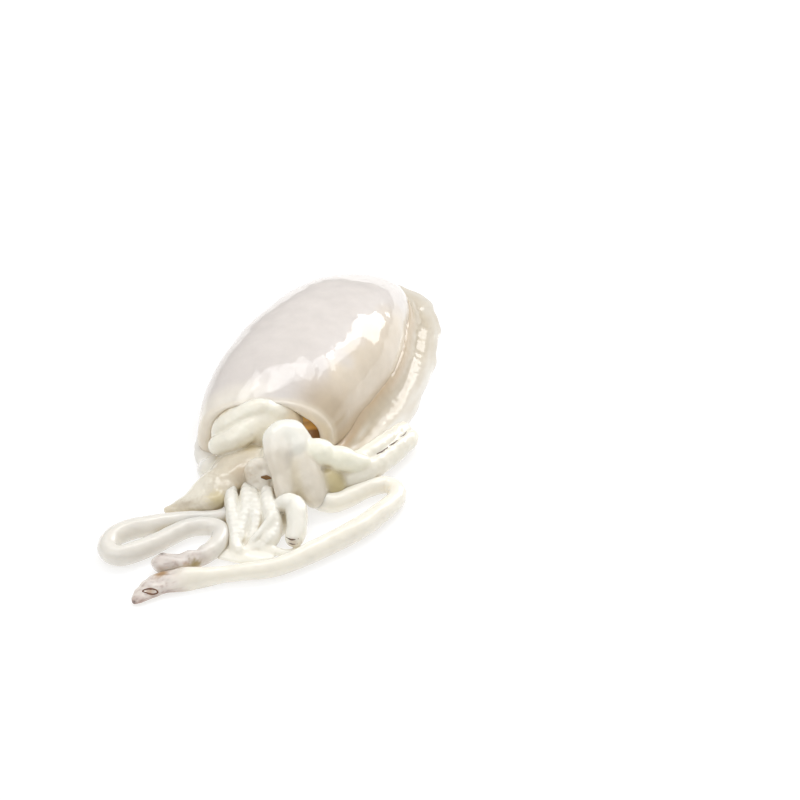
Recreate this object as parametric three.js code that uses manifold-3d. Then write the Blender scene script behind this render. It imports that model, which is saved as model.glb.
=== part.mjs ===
// A whole raw cuttlefish, cleaned and lying funnel side up, in millimetres with +Z up.
// It is one piece of flesh: the mantle, a sac with a fin skirt, and the head in the mantle's mouth,
// with its funnel, eight arms and two long tentacles.
// The origin is the middle of the mantle's flat underside. +Y runs towards the tail.
import * as THREE from "three";
import { mergeVertices } from "three/addons/utils/BufferGeometryUtils.js";
import Module from "manifold-3d";

// Driving sizes of the mantle
const MANTLE_HALF_WIDTH = 37;
const MANTLE_HEIGHT = 38;
const MANTLE_TAIL_Y = 81;
const MANTLE_FRONT_Y = -118; // where the front half of the outline would close, beyond the mouth
const MANTLE_AXIS = { offset: -3, slope: 0.045, bend: 0.0013 }; // how the soft body leans sideways
const RIM_HEIGHT = 8; // height of the widest line above the table
const RIM_FALL = { halfWidth: 18, power: 0.6 }; // the rim comes down where the tail is narrower
const DOME_POWER = 0.8; // under 1 is a fuller section than an ellipse
const DOME_SWELL = { sharpness: 2.3, fullness: 0.7 }; // how the height grows from both ends
const TAIL_DROP = { from: -25, to: 60, share: 0.1 };
const MOUTH_DROP = { from: -30, to: -66, share: 0.1 };
const FRONT_TAPER = { from: -42, to: -68, left: 0.06, right: 0.13 };

// The mouth of the mantle: a slanting open end with its lip rolled in, and a pocket for the neck
const MOUTH_Y = -56; // where the slanting end crosses the middle
const MOUTH_SLOPE = 0.4;
const MOUTH_SLANT_END_Y = -5; // sections behind this one are square to the length
const LIP_ROLL = { depth: 14, right: 0.13, left: 0.03, top: 0.04 };
const POCKET = { centre: [-1.5, -55, 6], radii: [24.5, 32, 22], floor: 3 };

// The fin skirt
const FIN_WIDTH = { right: 11.5, left: 4.5 };
const FIN_ROOT_INSIDE = 5;
const FIN_HEIGHT = { root: 4.6, edge: 1.3 };
const FIN_THICKNESS = { root: 3.4, edge: 1.6 };
const FIN_FRONT_Y = { right: -46, left: -58 };
const FIN_WAVES = { count: 9, height: 0.8 };
const FIN_END_ROUNDING = 6; // a higher power keeps the full width nearer to the front ends

// Facets
const MANTLE_FACETS = { sides: 36, steps: 22 };
const FIN_FACETS = { sides: 8, steps: 52 };
const BALL_FACETS = { around: 18, down: 12 };
const LIP_FACETS = { around: 14, section: 8 };
const ARM_SIDES = 9;
const ARM_STEP = 4.2;
const ARM_LEAST_STEPS = 7;
const TIP_CROWDING = 1.25; // over 1 sets the last sections closer together
const TIP_LEAST = 0.3; // share of the radius that is left at the very tip
const SHORTEST_EDGE = 0.03;

// Routes of the soft limbs from root to tip, each point x, y, z and radius.
// flat is the height of the section over its width.
const LIMBS = {
  // A hairpin, then a long run back past the arms to the club
  tentacleRight: {
    route: [
      [34, -82.5, 8, 4.4], [46, -81.5, 5, 4.6], [57.5, -64, 4.5, 4.1], [63, -57, 4, 3.9],
      [70, -59, 4, 4.1], [73.5, -66.5, 4.5, 4.4], [69.5, -85, 5, 4.9], [56.5, -108.5, 4.5, 4.8],
      [43, -129.5, 4, 4], [25.5, -142.5, 3.5, 3.4], [10, -153.5, 4, 4.4], [4.5, -158, 4, 4.3],
      [1, -164, 3.5, 3.4], [-2, -170.5, 2, 1.7],
    ],
  },
  // A hairpin that turns back once more to the club
  tentacleLeft: {
    route: [
      [8, -102, 9, 4.4], [-0.5, -111.5, 5, 4.4], [-13, -121, 4.5, 4.5], [-26, -133.5, 4.5, 4.6],
      [-30, -142, 4.5, 4.5], [-27.5, -149, 4.5, 4.5], [-21.5, -150.5, 4.5, 4.5],
      [-12.5, -139.5, 4.5, 4.5], [-4, -122, 4.5, 4.2], [1, -116.5, 4, 4.1], [7.5, -117.5, 4, 3.9],
      [12.5, -124.5, 4, 3.7], [12, -132.5, 3.5, 3.4], [6.5, -141, 3.5, 3.4], [2.5, -146.5, 4, 4.1],
      [-2.5, -148.5, 4, 3.8], [-5.5, -149, 3, 2.1],
    ],
  },
  // Broad, out to the left
  arm1: {
    flat: 0.7,
    route: [
      [3, -79, 14, 8], [1, -89.5, 12.5, 8.8], [-4.5, -97.5, 9, 8], [-13, -105, 4.8, 5],
      [-20, -113, 2, 1.8],
    ],
  },
  // Down the left front, with the tip turned right
  arm2: {
    route: [
      [8, -83, 11, 4.6], [7, -93, 11, 4], [7.5, -101, 8, 3.4], [12.5, -109.5, 5, 3.3],
      [18, -121.5, 3.5, 3.1], [25, -125, 3, 2.9], [32.5, -121, 3, 2.6], [40.5, -115, 2, 1.3],
    ],
  },
  // Down the front, under the beak
  arm3: {
    route: [
      [14, -83, 8, 4.6], [14, -93, 8.5, 4.2], [15, -100, 7.5, 3.6], [18.5, -107.5, 5.5, 3.5],
      [22, -116, 4, 3], [25, -121.5, 3, 1.7],
    ],
  },
  arm4: {
    route: [
      [20, -84, 9, 4.6], [22, -93.5, 9.5, 4.4], [26.5, -99.5, 7.5, 4.5], [30.5, -106.5, 5, 4.8],
      [33, -114.5, 4, 3.9], [32.5, -118, 3.5, 2.2],
    ],
  },
  // From the top of the crown down to a blunt tip
  arm5: {
    route: [
      [18.5, -75.5, 27, 7.4], [19, -81, 22.5, 6.4], [22.5, -85, 16.5, 6.4], [26.5, -87.5, 10, 6.4],
      [33, -92, 7, 5.6], [38.5, -99.5, 5, 5], [42.5, -107.5, 4.5, 4.1], [44, -111.5, 4, 2.6],
    ],
  },
  // From the top of the crown down the right
  arm6: {
    route: [
      [25.5, -73, 26, 7.4], [31, -77, 20.5, 6.8], [35.5, -79, 14, 6.8], [40.5, -79.5, 8.5, 6],
      [45, -80, 5.5, 4.2],
    ],
  },
  // Short, over arm 8
  arm7: {
    route: [
      [29.5, -72, 23.5, 6.2], [36, -68.5, 19, 6.2], [43.5, -65, 16, 5.8], [49.5, -61, 13.5, 4.5],
      [52.5, -57, 12.5, 2.2],
    ],
  },
  // Thick, along the right side of the mantle
  arm8: {
    route: [
      [36, -75.5, 14, 6.2], [41.5, -67, 10, 6.3], [47, -57, 8, 6.7], [52, -47.5, 7.5, 7.2],
      [56, -34, 6.5, 7.1], [57, -22.5, 5.5, 5.5], [56.5, -16.5, 4.5, 3.2],
    ],
  },
  funnelUpperWall: {
    route: [
      [10, -54, 21, 4.6], [0.5, -56, 21.5, 5], [-7.5, -61, 20, 5.2], [-13.5, -66.5, 16.5, 4.8],
      [-16.5, -70, 13, 3.2],
    ],
  },
  funnelLowerWall: {
    route: [
      [8, -60, 16.5, 6], [0.5, -64, 15.5, 6.2], [-6, -68, 12, 6], [-13, -70.5, 9, 5],
      [-18.5, -72, 7, 3],
    ],
  },
  // The loose front end of the left fin
  finFlap: {
    flat: 0.3,
    route: [
      [-33, -44, 3.5, 4], [-30, -58, 3, 5.4], [-24.5, -71, 2.4, 5.6], [-20.5, -78, 1.6, 3],
    ],
  },
};

// Round masses of the head, each flat where it meets the table
const MASSES = {
  crown: { centre: [16, -72.5, 13], radii: [20, 14.5, 12.5], floor: 0 },
  crownTop: { centre: [20.5, -71.5, 26.5], radii: [10.8, 9, 9], floor: 0 },
  cheek: { centre: [1, -80, 9], radii: [15, 11, 9], floor: 0 },
  neck: { centre: [-2, -47, 12], radii: [14.5, 28, 10], floor: 0 },
  armWeb: { centre: [20, -100, 3], radii: [14, 14, 4.5], floor: 0 },
};

// The ring of lip round the beak, which looks out between the arms
const LIP_CENTRE = new THREE.Vector3(15.5, -88.5, 13);
const LIP_FACING = new THREE.Vector3(0.25, -0.85, 0.45).normalize();
const LIP_RADIUS = 4.4;
const LIP_THICKNESS = 2.4;

const UP = new THREE.Vector3(0, 0, 1);
const wasm = await Module();
wasm.setup();

function smoothstep({ from, to }, value) {
  const t = THREE.MathUtils.clamp((value - from) / (to - from), 0, 1);
  return t * t * (3 - 2 * t);
}

// A power of a sine or cosine that keeps its sign
function fuller(value, power) {
  return Math.sign(value) * Math.abs(value) ** power;
}

// Outline of the mantle at each place along its length

function mantleCentreX(y) {
  const bend = y < 0 ? MANTLE_AXIS.bend * y * y : 0;
  return MANTLE_AXIS.offset + MANTLE_AXIS.slope * y + bend;
}

// How far y is along the half of the mantle that it lies in, 0 in the middle and 1 at the end
function mantleShare(y) {
  return Math.min(y / (y < 0 ? MANTLE_FRONT_Y : MANTLE_TAIL_Y), 0.9998);
}

// side is over 0 on the right and under 0 on the left
function mantleHalfWidth(y, side) {
  const taper = (side > 0 ? FRONT_TAPER.right : FRONT_TAPER.left) * smoothstep(FRONT_TAPER, y);
  return MANTLE_HALF_WIDTH * Math.sqrt(1 - mantleShare(y) ** 2) * (1 - taper);
}

function mantleRim(y) {
  return RIM_HEIGHT * Math.min(mantleHalfWidth(y, 1) / RIM_FALL.halfWidth, 1) ** RIM_FALL.power;
}

function mantleTop(y) {
  const swell = (1 - mantleShare(y) ** DOME_SWELL.sharpness) ** DOME_SWELL.fullness;
  const tail = 1 - TAIL_DROP.share * smoothstep(TAIL_DROP, y);
  const mouth = 1 - MOUTH_DROP.share * smoothstep(MOUTH_DROP, y);
  return (RIM_HEIGHT + (MANTLE_HEIGHT - RIM_HEIGHT) * swell * tail) * mouth;
}

// Solids from three.js geometry

function toSolid(geometry) {
  geometry.deleteAttribute("normal");
  geometry.deleteAttribute("uv");
  const merged = mergeVertices(geometry, 1e-4);
  return new wasm.Manifold(
    new wasm.Mesh({
      numProp: 3,
      vertProperties: merged.getAttribute("position").array,
      triVerts: new Uint32Array(merged.index.array),
    }),
  );
}

// A closed solid whose sections follow one another. place(along, around, out) gives the point at
// a share of the length, an angle round the section and 1 on the skin or 0 on the centre line.
function loft({ sides, steps }, place) {
  const geometry = new THREE.CylinderGeometry(1, 1, 1, sides, steps);
  const spots = geometry.getAttribute("position");
  for (let i = 0; i < spots.count; i++) {
    const x = spots.getX(i);
    const z = spots.getZ(i);
    const p = place(spots.getY(i) + 0.5, Math.atan2(z, x), Math.hypot(x, z));
    spots.setXYZ(i, p.x, p.y, Math.max(p.z, 0));
  }
  return toSolid(geometry);
}

// An ellipsoid that is cut flat at its floor
function ball({ centre, radii, floor }) {
  const geometry = new THREE.SphereGeometry(1, BALL_FACETS.around, BALL_FACETS.down);
  geometry.rotateX(Math.PI / 2);
  geometry.scale(...radii);
  geometry.translate(...centre);
  const spots = geometry.getAttribute("position");
  for (let i = 0; i < spots.count; i++) {
    spots.setZ(i, Math.max(spots.getZ(i), floor));
  }
  return toSolid(geometry);
}

// The largest body of a solid, without the scraps and the very short edges that a cut can leave
function largestBody(solid) {
  const bodies = solid.decompose();
  return bodies.reduce((a, b) => (b.volume() > a.volume() ? b : a)).simplify(SHORTEST_EDGE);
}

// Mantle

// Sections run from the slanting mouth to the tail, closest together at both ends
function mantleSac() {
  return loft(MANTLE_FACETS, (along, around, out) => {
    const bothEnds = (1 - Math.cos(along * Math.PI)) / 2;
    const tailEnd = Math.sin((along * Math.PI) / 2);
    const station = MOUTH_Y + (MANTLE_TAIL_Y - MOUTH_Y) * THREE.MathUtils.lerp(tailEnd, bothEnds, 0.6);
    const slant = MOUTH_SLOPE * smoothstep({ from: MOUTH_SLANT_END_Y, to: MOUTH_Y }, station);
    const nearLip = Math.max(1 - (station - MOUTH_Y) / LIP_ROLL.depth, 0) ** 2;
    const across = fuller(Math.cos(around), DOME_POWER);
    const over = fuller(Math.sin(around), DOME_POWER);
    const roll = across > 0 ? LIP_ROLL.right : LIP_ROLL.left;
    let x = mantleCentreX(station);
    let y = station;
    for (let pass = 0; pass < 3; pass++) {
      y = station + slant * x;
      x = mantleCentreX(y) + mantleHalfWidth(y, across) * across * (1 - roll * nearLip) * out;
    }
    const rim = mantleRim(y);
    const top = mantleTop(y) * (1 - LIP_ROLL.top * nearLip);
    const rise = over > 0 ? (top - rim) * over : 2 * rim * over;
    return new THREE.Vector3(x, y, rim + rise * out);
  });
}

// The line where the fin leaves the mantle: share -1 is the front right, 0 the tail, 1 the front left
function finRoot(share) {
  const front = share < 0 ? FIN_FRONT_Y.right : FIN_FRONT_Y.left;
  const y = front + (MANTLE_TAIL_Y - front) * Math.cos((share * Math.PI) / 2);
  const side = share < 0 ? 1 : -1;
  return new THREE.Vector2(mantleCentreX(y) + side * mantleHalfWidth(y, side), y);
}

function finSkirt() {
  return loft(FIN_FACETS, (along, around, out) => {
    const share = 2 * along - 1;
    const root = finRoot(share);
    const run = finRoot(share + 0.01).sub(finRoot(share - 0.01)).normalize();
    const outward = new THREE.Vector2(run.y, -run.x);
    const towardsLeft = smoothstep({ from: 0, to: 0.55 }, share);
    const full = THREE.MathUtils.lerp(FIN_WIDTH.right, FIN_WIDTH.left, towardsLeft);
    const width = full * Math.sqrt(1 - Math.abs(share) ** FIN_END_ROUNDING) + FIN_THICKNESS.edge;
    const reach = ((1 + Math.cos(around) * out) / 2) * (width + FIN_ROOT_INSIDE) - FIN_ROOT_INSIDE;
    const edge = THREE.MathUtils.clamp(reach / width, 0, 1);
    const wave = FIN_WAVES.height * edge * Math.sin(share * FIN_WAVES.count * Math.PI);
    const middle = THREE.MathUtils.lerp(FIN_HEIGHT.root, FIN_HEIGHT.edge, edge) + wave;
    const thickness = THREE.MathUtils.lerp(FIN_THICKNESS.root, FIN_THICKNESS.edge, edge);
    const z = middle + (Math.sin(around) * out * thickness) / 2;
    return new THREE.Vector3(root.x + outward.x * reach, root.y + outward.y * reach, z);
  });
}

// Head

// A tapering round or flattened limb along its route, flat below where it lies on the table
function limb({ route, flat = 1 }) {
  const points = route.map(([x, y, z]) => new THREE.Vector3(x, y, z));
  const curve = new THREE.CatmullRomCurve3(points, false, "centripetal");
  const length = curve.getLength();
  const steps = Math.max(ARM_LEAST_STEPS, Math.round(length / ARM_STEP));
  return loft({ sides: ARM_SIDES, steps }, (along, around, out) => {
    const share = 1 - (1 - along) ** TIP_CROWDING;
    const knot = curve.getUtoTmapping(share) * (route.length - 1);
    const before = Math.min(Math.floor(knot), route.length - 2);
    const radius = THREE.MathUtils.lerp(route[before][3], route[before + 1][3], knot - before);
    const fromTip = Math.min(((1 - share) * length) / radius, 1);
    const half = radius * Math.max(Math.sqrt(1 - (1 - fromTip) ** 2), TIP_LEAST) * out;
    const run = curve.getTangentAt(share);
    const side = new THREE.Vector3().crossVectors(run, UP).normalize();
    const lift = new THREE.Vector3().crossVectors(side, run);
    return curve
      .getPointAt(share)
      .addScaledVector(side, Math.cos(around) * half)
      .addScaledVector(lift, Math.sin(around) * half * flat);
  });
}

function lipRing() {
  const geometry = new THREE.TorusGeometry(
    LIP_RADIUS,
    LIP_THICKNESS,
    LIP_FACETS.section,
    LIP_FACETS.around,
  );
  geometry.applyQuaternion(new THREE.Quaternion().setFromUnitVectors(UP, LIP_FACING));
  geometry.translate(...LIP_CENTRE);
  return toSolid(geometry);
}

// The whole animal

function flesh() {
  const mantle = mantleSac().add(finSkirt()).subtract(ball(POCKET));
  const masses = Object.values(MASSES).map(ball);
  const limbs = Object.values(LIMBS).map(limb);
  const whole = [...masses, ...limbs, lipRing()].reduce((all, piece) => all.add(piece), mantle);
  return largestBody(whole);
}

function toMesh(name, solid, material) {
  const { numVert, numProp, vertProperties, triVerts } = solid.getMesh();
  const positions = new Float32Array(numVert * 3);
  for (let i = 0; i < numVert; i++) {
    positions.set(vertProperties.subarray(i * numProp, i * numProp + 3), i * 3);
  }
  const geometry = new THREE.BufferGeometry();
  geometry.setAttribute("position", new THREE.BufferAttribute(positions, 3));
  geometry.setIndex(new THREE.BufferAttribute(triVerts, 1));
  geometry.computeVertexNormals();
  const mesh = new THREE.Mesh(geometry, material);
  mesh.name = name;
  return mesh;
}

const fleshMaterial = new THREE.MeshStandardMaterial({ color: 0xece6dc, roughness: 0.25, metalness: 0 });
const cuttlefish = new THREE.Group();
cuttlefish.add(toMesh("cuttlefish", flesh(), fleshMaterial));

export default cuttlefish;
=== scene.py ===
# A whole raw cuttlefish, skinned and cleaned, that lies funnel side up on a white table.
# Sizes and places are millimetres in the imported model's frame, and become metres as meshes are made.
import math

import bmesh
import bpy
import numpy as np
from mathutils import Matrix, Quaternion, Vector
from mathutils.bvhtree import BVHTree


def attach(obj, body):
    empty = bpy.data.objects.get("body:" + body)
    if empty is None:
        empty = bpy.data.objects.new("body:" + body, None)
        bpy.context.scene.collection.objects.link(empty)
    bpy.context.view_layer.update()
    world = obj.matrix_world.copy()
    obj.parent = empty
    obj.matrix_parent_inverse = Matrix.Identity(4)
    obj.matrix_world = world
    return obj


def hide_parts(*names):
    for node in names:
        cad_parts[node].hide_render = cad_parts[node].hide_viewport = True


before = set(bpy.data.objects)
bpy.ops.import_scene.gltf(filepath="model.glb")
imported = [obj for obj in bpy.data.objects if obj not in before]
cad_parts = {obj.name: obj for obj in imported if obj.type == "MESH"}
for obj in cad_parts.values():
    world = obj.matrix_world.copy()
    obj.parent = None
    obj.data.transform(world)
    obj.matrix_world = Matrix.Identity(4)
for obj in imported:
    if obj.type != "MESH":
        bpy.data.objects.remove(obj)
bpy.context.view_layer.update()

MM = 0.001
UP = np.array([0.0, 0.0, 1.0])

# The mantle
MANTLE_HALF_WIDTH = 35.5
MANTLE_HEIGHT = 39.5
MANTLE_TAIL_Y = 84.0
MANTLE_FRONT_Y = -118.0  # where the front half of the outline would close, beyond the mouth
MANTLE_AXIS = {"offset": -4.5, "slope": 0.045, "bend": 0.0013}
RIGHT_SIDE = {"tail": -0.05, "front": 0.09, "start": 62.0, "end": 4.0}  # how much fuller it is than the left
RIM_HEIGHT = 8.0
RIM_FALL = {"half_width": 18.0, "power": 0.6}
RIM_TUCK = {"share": 0.03, "down": -0.35}  # how far the skin turns in under the rim
# The warm tint above the fin is painted shade where the mantle meets the fin
RIM_SHADE = {"height": 6.0, "tail": 0.7, "front": 0.85, "span": (60.0, -10.0)}  # the warm tint above the fin
DOME_POWER = 0.8
DOME_SWELL = {"sharpness": 2.3, "fullness": 0.7}
MOUTH_DROP = {"start": -20.0, "end": -66.0, "share": 0.13}
FRONT_TAPER = {"start": -42.0, "end": -68.0, "left": 0.06, "right": 0.09}
TAIL_SHARE = 0.9998  # how near the outline comes to closing at its ends
MANTLE_CLEAR = 4.0  # height above the table where the unevenness of the mantle is full
# The cool top tint and the beige side are partly the mantle's own tones, partly painted reflection and
# painted shade
TOP_TINT = {"across": (0.88, 0.56), "ragged": 0.08, "wavelength": 14.0}
# Painted shade beside the mouth on the right, and painted light near the lip on the left, where the mantle
# faces away from the light
LIP_TINTS = {
    "mantle_shade": {"from_lip": (24.0, 4.0), "across": (0.3, 0.75), "share": 0.8},
    "lip_painted_light": {"from_lip": (16.0, 4.0), "across": (0.3, -0.2), "share": 0.6},
}
LIP_EDGE = {"reach": 3.0, "share": 0.7}

# The mouth of the mantle
MOUTH_Y = -56.0
MOUTH_SLOPE = 0.4
MOUTH_SLANT_END_Y = -5.0
MOUTH_FACING = np.array([0.371, -0.928, 0.0])  # out of the mouth, square to its slant
LIP_ROLL = {"depth": 14.0, "right": 0.05, "left": 0.03, "top": 0.04}
WALL = {"top": 2.2, "left": 9.5, "right": 5.5}  # thickness of the mantle at its lip
# Degrees round the lip, from the right over the top, where its wall grows thick
WALL_LEFT = ((100.0, 165.0), (290.0, 230.0))
WALL_RIGHT = ((80.0, 40.0), (290.0, 340.0))
POCKET_DEPTH = 26.0
POCKET_NARROWING = 0.35

# The fin skirt
FIN_WIDTH = {"right": 14.5, "left": 2.5, "front": 4.0}  # front is what it gains beside the mouth
FIN_SPANS = {"left": (0.0, 0.55), "front": (-0.7, -0.84), "ends": (0.86, 0.97)}  # shares of its run
FIN_ROOT_INSIDE = 5.0
FIN_HEIGHT = {"root": 10.5, "end": 3.5, "edge": 0.35, "fall": 4.4}
FIN_THICKNESS = {"root": 2.6, "edge": 0.5, "thin_at": 0.7}
FIN_FRONT_Y = {"right": -46.0, "left": -58.0}
FIN_WAVES = {"count": 9.0, "height": 0.5}
FIN_EDGE_WAVES = [(0.04, 31.0, 0.0), (0.015, 67.0, 1.0)]  # height, waves and start of each
FIN_FOLDS = {"width": 3.6, "height": 0.18, "start": 0.3, "sway": 1.6, "sways": 9.0}
FIN_CALM_EDGE = 0.8
FIN_END_ROUNDING = 12.0
# The warm line is painted shade in the crease where the mantle turns into the fin
FIN_CREASE = {"reach": 0.8, "width": 1.3}  # the warm line where the mantle turns into the fin
# run stretches the streaks along the fin; the brightest streaks are painted whiter as glints, and strength
# is how strongly
FIN_STREAKS = {"run": 20.0, "width": 2.6, "share": 0.2, "painted_glint": (0.9, 1.6), "strength": 0.6}
FIN_SHADE = {"front": (15.0, -20.0), "tail": (38.0, 60.0), "tail_share": 0.8}
FIN_BACK = {"span": (25.0, 55.0), "share": 0.5}
FIN_TINTS = {"middle": (0.15, 0.65), "edge": (0.6, 1.0), "root": (2.5, 0.5)}

# Routes of the soft limbs from root to tip, each point x, y, z and radius.
# flat is the height of the section over its width.
TENTACLES = {
    "tentacle_right": [
        (34, -82.5, 8, 4.4), (46, -81.5, 5, 4.6), (57.5, -64, 4.5, 4.1), (63, -58.8, 4.2, 3.9),
        (68.4, -60, 4.2, 4), (71.2, -66, 4.5, 4.3), (70.3, -75, 4.8, 4.6), (66, -90, 5, 4.9),
        (56.5, -108.5, 4.5, 4.8), (43, -129.5, 4, 4), (31, -137.8, 3.6, 3.7), (23.8, -142.5, 3.4, 3.7),
        (18.9, -146, 3.2, 4.2), (14, -149, 3, 5), (9, -152.2, 2.8, 5.9), (4.8, -155, 2.7, 6.2),
        (1.8, -158.2, 2.5, 6), (0, -162.2, 2.3, 5.2), (-1.4, -166.4, 1.9, 4), (-2.1, -169.5, 1.5, 2.6),
        (-2.5, -171.8, 1.1, 1.2),
    ],
    "tentacle_left": [
        (12, -104, 7, 3.6), (6.5, -108.8, 4.6, 3.4), (0.3, -112.8, 4, 3.6), (-8.2, -118.4, 4.3, 4.2),
        (-17.9, -126.2, 4.5, 4.5), (-26, -133.5, 4.5, 4.6), (-30, -142, 4.5, 4.5), (-27.5, -149, 4.5, 4.5),
        (-21.5, -150.5, 4.5, 4.5), (-12.5, -139.5, 4.5, 4.5), (-4, -123, 4.5, 4.2), (1, -118.3, 4.3, 4.2),
        (6.5, -116.6, 4.3, 4.2), (11.2, -118.6, 4.3, 4.2), (13.3, -124, 4.2, 4.2), (13.2, -130, 4.2, 4.2),
        (11.4, -135.5, 4.2, 4.1), (8, -140, 4.2, 3.9), (4, -144, 4.2, 4), (0, -146.5, 4.2, 4.3),
        (-4, -147, 4, 4.1), (-6.5, -146, 3.6, 2.8),
    ],
}
# Each arm may be made of two or three folds of flesh. soft is how far a fold flows into its neighbours.
FRONT_ARMS = {
    "arm2": {"soft": 1.4, "route": [
        (-1, -86, 6, 3), (3, -94, 8, 3), (8, -102.5, 9, 3.1), (12.5, -110, 7.8, 3.1), (17, -116.5, 6, 3),
        (21, -123.5, 4.2, 2.9), (25.5, -127.5, 3.2, 2.3),
    ]},
    "arm3": {"soft": 1.4, "route": [
        (8, -86, 7, 3.2), (11.5, -94, 9, 3.2), (15.5, -102.5, 8.5, 3.2), (17.5, -109.5, 7.2, 3),
        (19.5, -115.5, 5.5, 2.7), (21.5, -120.5, 4, 2.2),
    ]},
    "arm3_fold": {"soft": 1.6, "route": [
        (12, -88, 8, 2.8), (15.5, -96, 9, 2.8), (20.5, -103.5, 8, 3), (23, -108.5, 6.3, 2.9),
        (25, -114, 4.5, 2.6), (25.5, -118.5, 3.2, 2),
    ]},
    "arm4": {"soft": 1.2, "route": [
        (18, -86, 8, 3.4), (20.5, -92, 9.5, 3.4), (25, -99.5, 9.2, 3.6), (29, -104.5, 7.8, 4),
        (32, -109.5, 5.5, 4.2), (32.5, -114.5, 4, 3.8), (31.5, -118.5, 3, 2.6),
    ]},
    "arm4_edge": {"soft": 1.6, "route": [
        (29, -103, 11.5, 1.6), (30, -107.5, 10.5, 1.8), (29, -113, 8.4, 1.7), (27.5, -118, 6, 1.5),
        (26, -121.5, 4, 1.2),
    ]},
    "arm5_tip": {"soft": 0.9, "route": [
        (28, -98, 8, 3.2), (31, -96, 10.5, 4.2), (35, -95.5, 10.5, 4.8), (38.5, -99, 9.2, 4.9),
        (41, -104.5, 7.4, 4.6), (42.5, -109.5, 5.6, 4.2), (44, -113, 4.2, 3.2),
    ]},
    "arm2_foot": {"soft": 2.0, "flat": 0.45, "route": [
        (15, -130, 2, 2.2), (19.5, -128.5, 2.2, 3.6), (25.5, -127, 2.2, 4.2), (32, -124, 2, 3.6),
        (38, -120.5, 1.8, 2.4),
    ]},
    "arm2_leaf": {"soft": 1.0, "flat": 0.75, "route": [
        (24, -127, 2.5, 2), (26.5, -123, 3, 2.6), (30, -119, 3.2, 3), (35.5, -118.5, 2.6, 2.5),
        (41.5, -117, 2, 1.8), (47, -110.5, 1.4, 1),
    ]},
}
HEAD_LIMBS = {
    "arm1": {"soft": 4.0, "flat": 0.75, "route": [
        (5, -66.5, 9, 8), (3, -76.5, 9, 9), (0, -85.5, 8.5, 9.4), (-3.5, -94.5, 7, 9),
        (-7.5, -100.5, 5.5, 7.2), (-11, -105.5, 4.2, 5), (-15.5, -110, 3, 3.1), (-20, -113, 2, 1.4),
    ]},
    "arm1_web": {"soft": 4.0, "route": [
        (-14, -109, 3.5, 2.2), (-9, -109, 5.2, 2.8), (-4, -107.8, 6.5, 3.8), (0, -105.5, 7.5, 4.2),
        (1.5, -101, 8, 4), (2, -95, 8.5, 3.5),
    ]},
    "arm5": {"soft": 2.0, "flat": 0.9, "route": [
        (30.7, -95.6, 8, 3.2), (28.7, -92.1, 12, 3.9), (25.2, -87.1, 16.5, 4.3), (22, -83.5, 21, 5),
        (19.5, -79, 24.5, 5.8), (18, -76, 26.5, 5.5),
    ]},
    "knob": {"soft": 2.0, "flat": 0.9, "route": [
        (21, -81.5, 22, 5), (19.5, -79, 24.5, 6.2), (17.5, -75, 27, 6.6), (19, -70.5, 28, 6.5),
        (22.5, -68, 27, 6.2), (25.5, -66, 24, 5),
    ]},
    "arm_sheet": {"soft": 1.8, "route": [
        (28, -72.5, 20.5, 4), (31, -76, 18.5, 4.8), (34.5, -79, 15, 5.4), (38, -82, 11, 5.6),
        (40.5, -84.5, 7.5, 5), (42, -86.5, 5.5, 3.8),
    ]},
    "arm6": {"soft": 2.0, "route": [
        (28.5, -71, 21, 3), (32, -73, 18.5, 3.4), (35.5, -75.5, 15, 3.8), (38.5, -78, 10.5, 4),
        (41.5, -81, 7, 3.8),
    ]},
    "web": {"soft": 3.0, "route": [
        (26.5, -76.5, 20, 3.6), (28.3, -80.5, 16.5, 4.4), (30.8, -84.5, 12, 4.8), (33.3, -88, 8, 4.2),
    ]},
    "arm7": {"soft": 1.6, "route": [
        (29, -70.5, 21.5, 5), (35, -68.8, 20.8, 6.2), (39.5, -67.2, 18.8, 5), (44, -65.4, 17.6, 5.8),
        (48.5, -63, 15.6, 4.6), (54, -57, 13.2, 1.8),
    ]},
    "arm8": {"soft": 1.5, "route": [
        (38, -72, 6, 5), (44, -68.5, 6.5, 5.8), (50.5, -62.5, 7.5, 6), (54, -54.5, 8, 5.4),
        (56.5, -45, 7.5, 5.2), (58.5, -35, 7, 5), (59.5, -27, 6.5, 4.6), (59.5, -21.5, 6, 3.2),
    ]},
    "arm8_fold": {"soft": 1.2, "route": [
        (45.5, -63.5, 12.5, 4.4), (48.5, -55.5, 12, 4.6), (51.5, -46.5, 11.5, 4.4), (53.5, -34, 10, 4.2),
        (55, -25, 8.5, 3.8), (56, -19.5, 7.5, 2.8),
    ]},
    "funnel_upper": {"soft": 3.0, "route": [
        (-13, -69, 18.5, 3.2), (-10, -66, 22, 4.2), (-6.5, -62.3, 24.5, 4.8), (-3, -59.5, 26, 5),
        (2, -56.5, 26.5, 4.8), (7, -54.5, 25, 4.2), (10.5, -51, 21, 3),
    ]},
    "funnel_lower": {"soft": 1.5, "route": [
        (-16, -75.5, 13, 3.6), (-11, -75.5, 15.5, 4.8), (-6, -73, 18, 5.3), (-2.5, -68.5, 20, 5.3),
        (1, -63, 21.5, 5), (4.5, -57.5, 22.5, 4.6), (8, -51.5, 21, 3.6),
    ]},
}
FIN_FLAP = {"flat": 0.3, "route": [
    (-31, -44, 3.5, 4), (-28, -58, 3, 4.8), (-22.5, -71, 2.4, 4.8), (-18.5, -77.5, 1.6, 2.6),
]}

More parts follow.
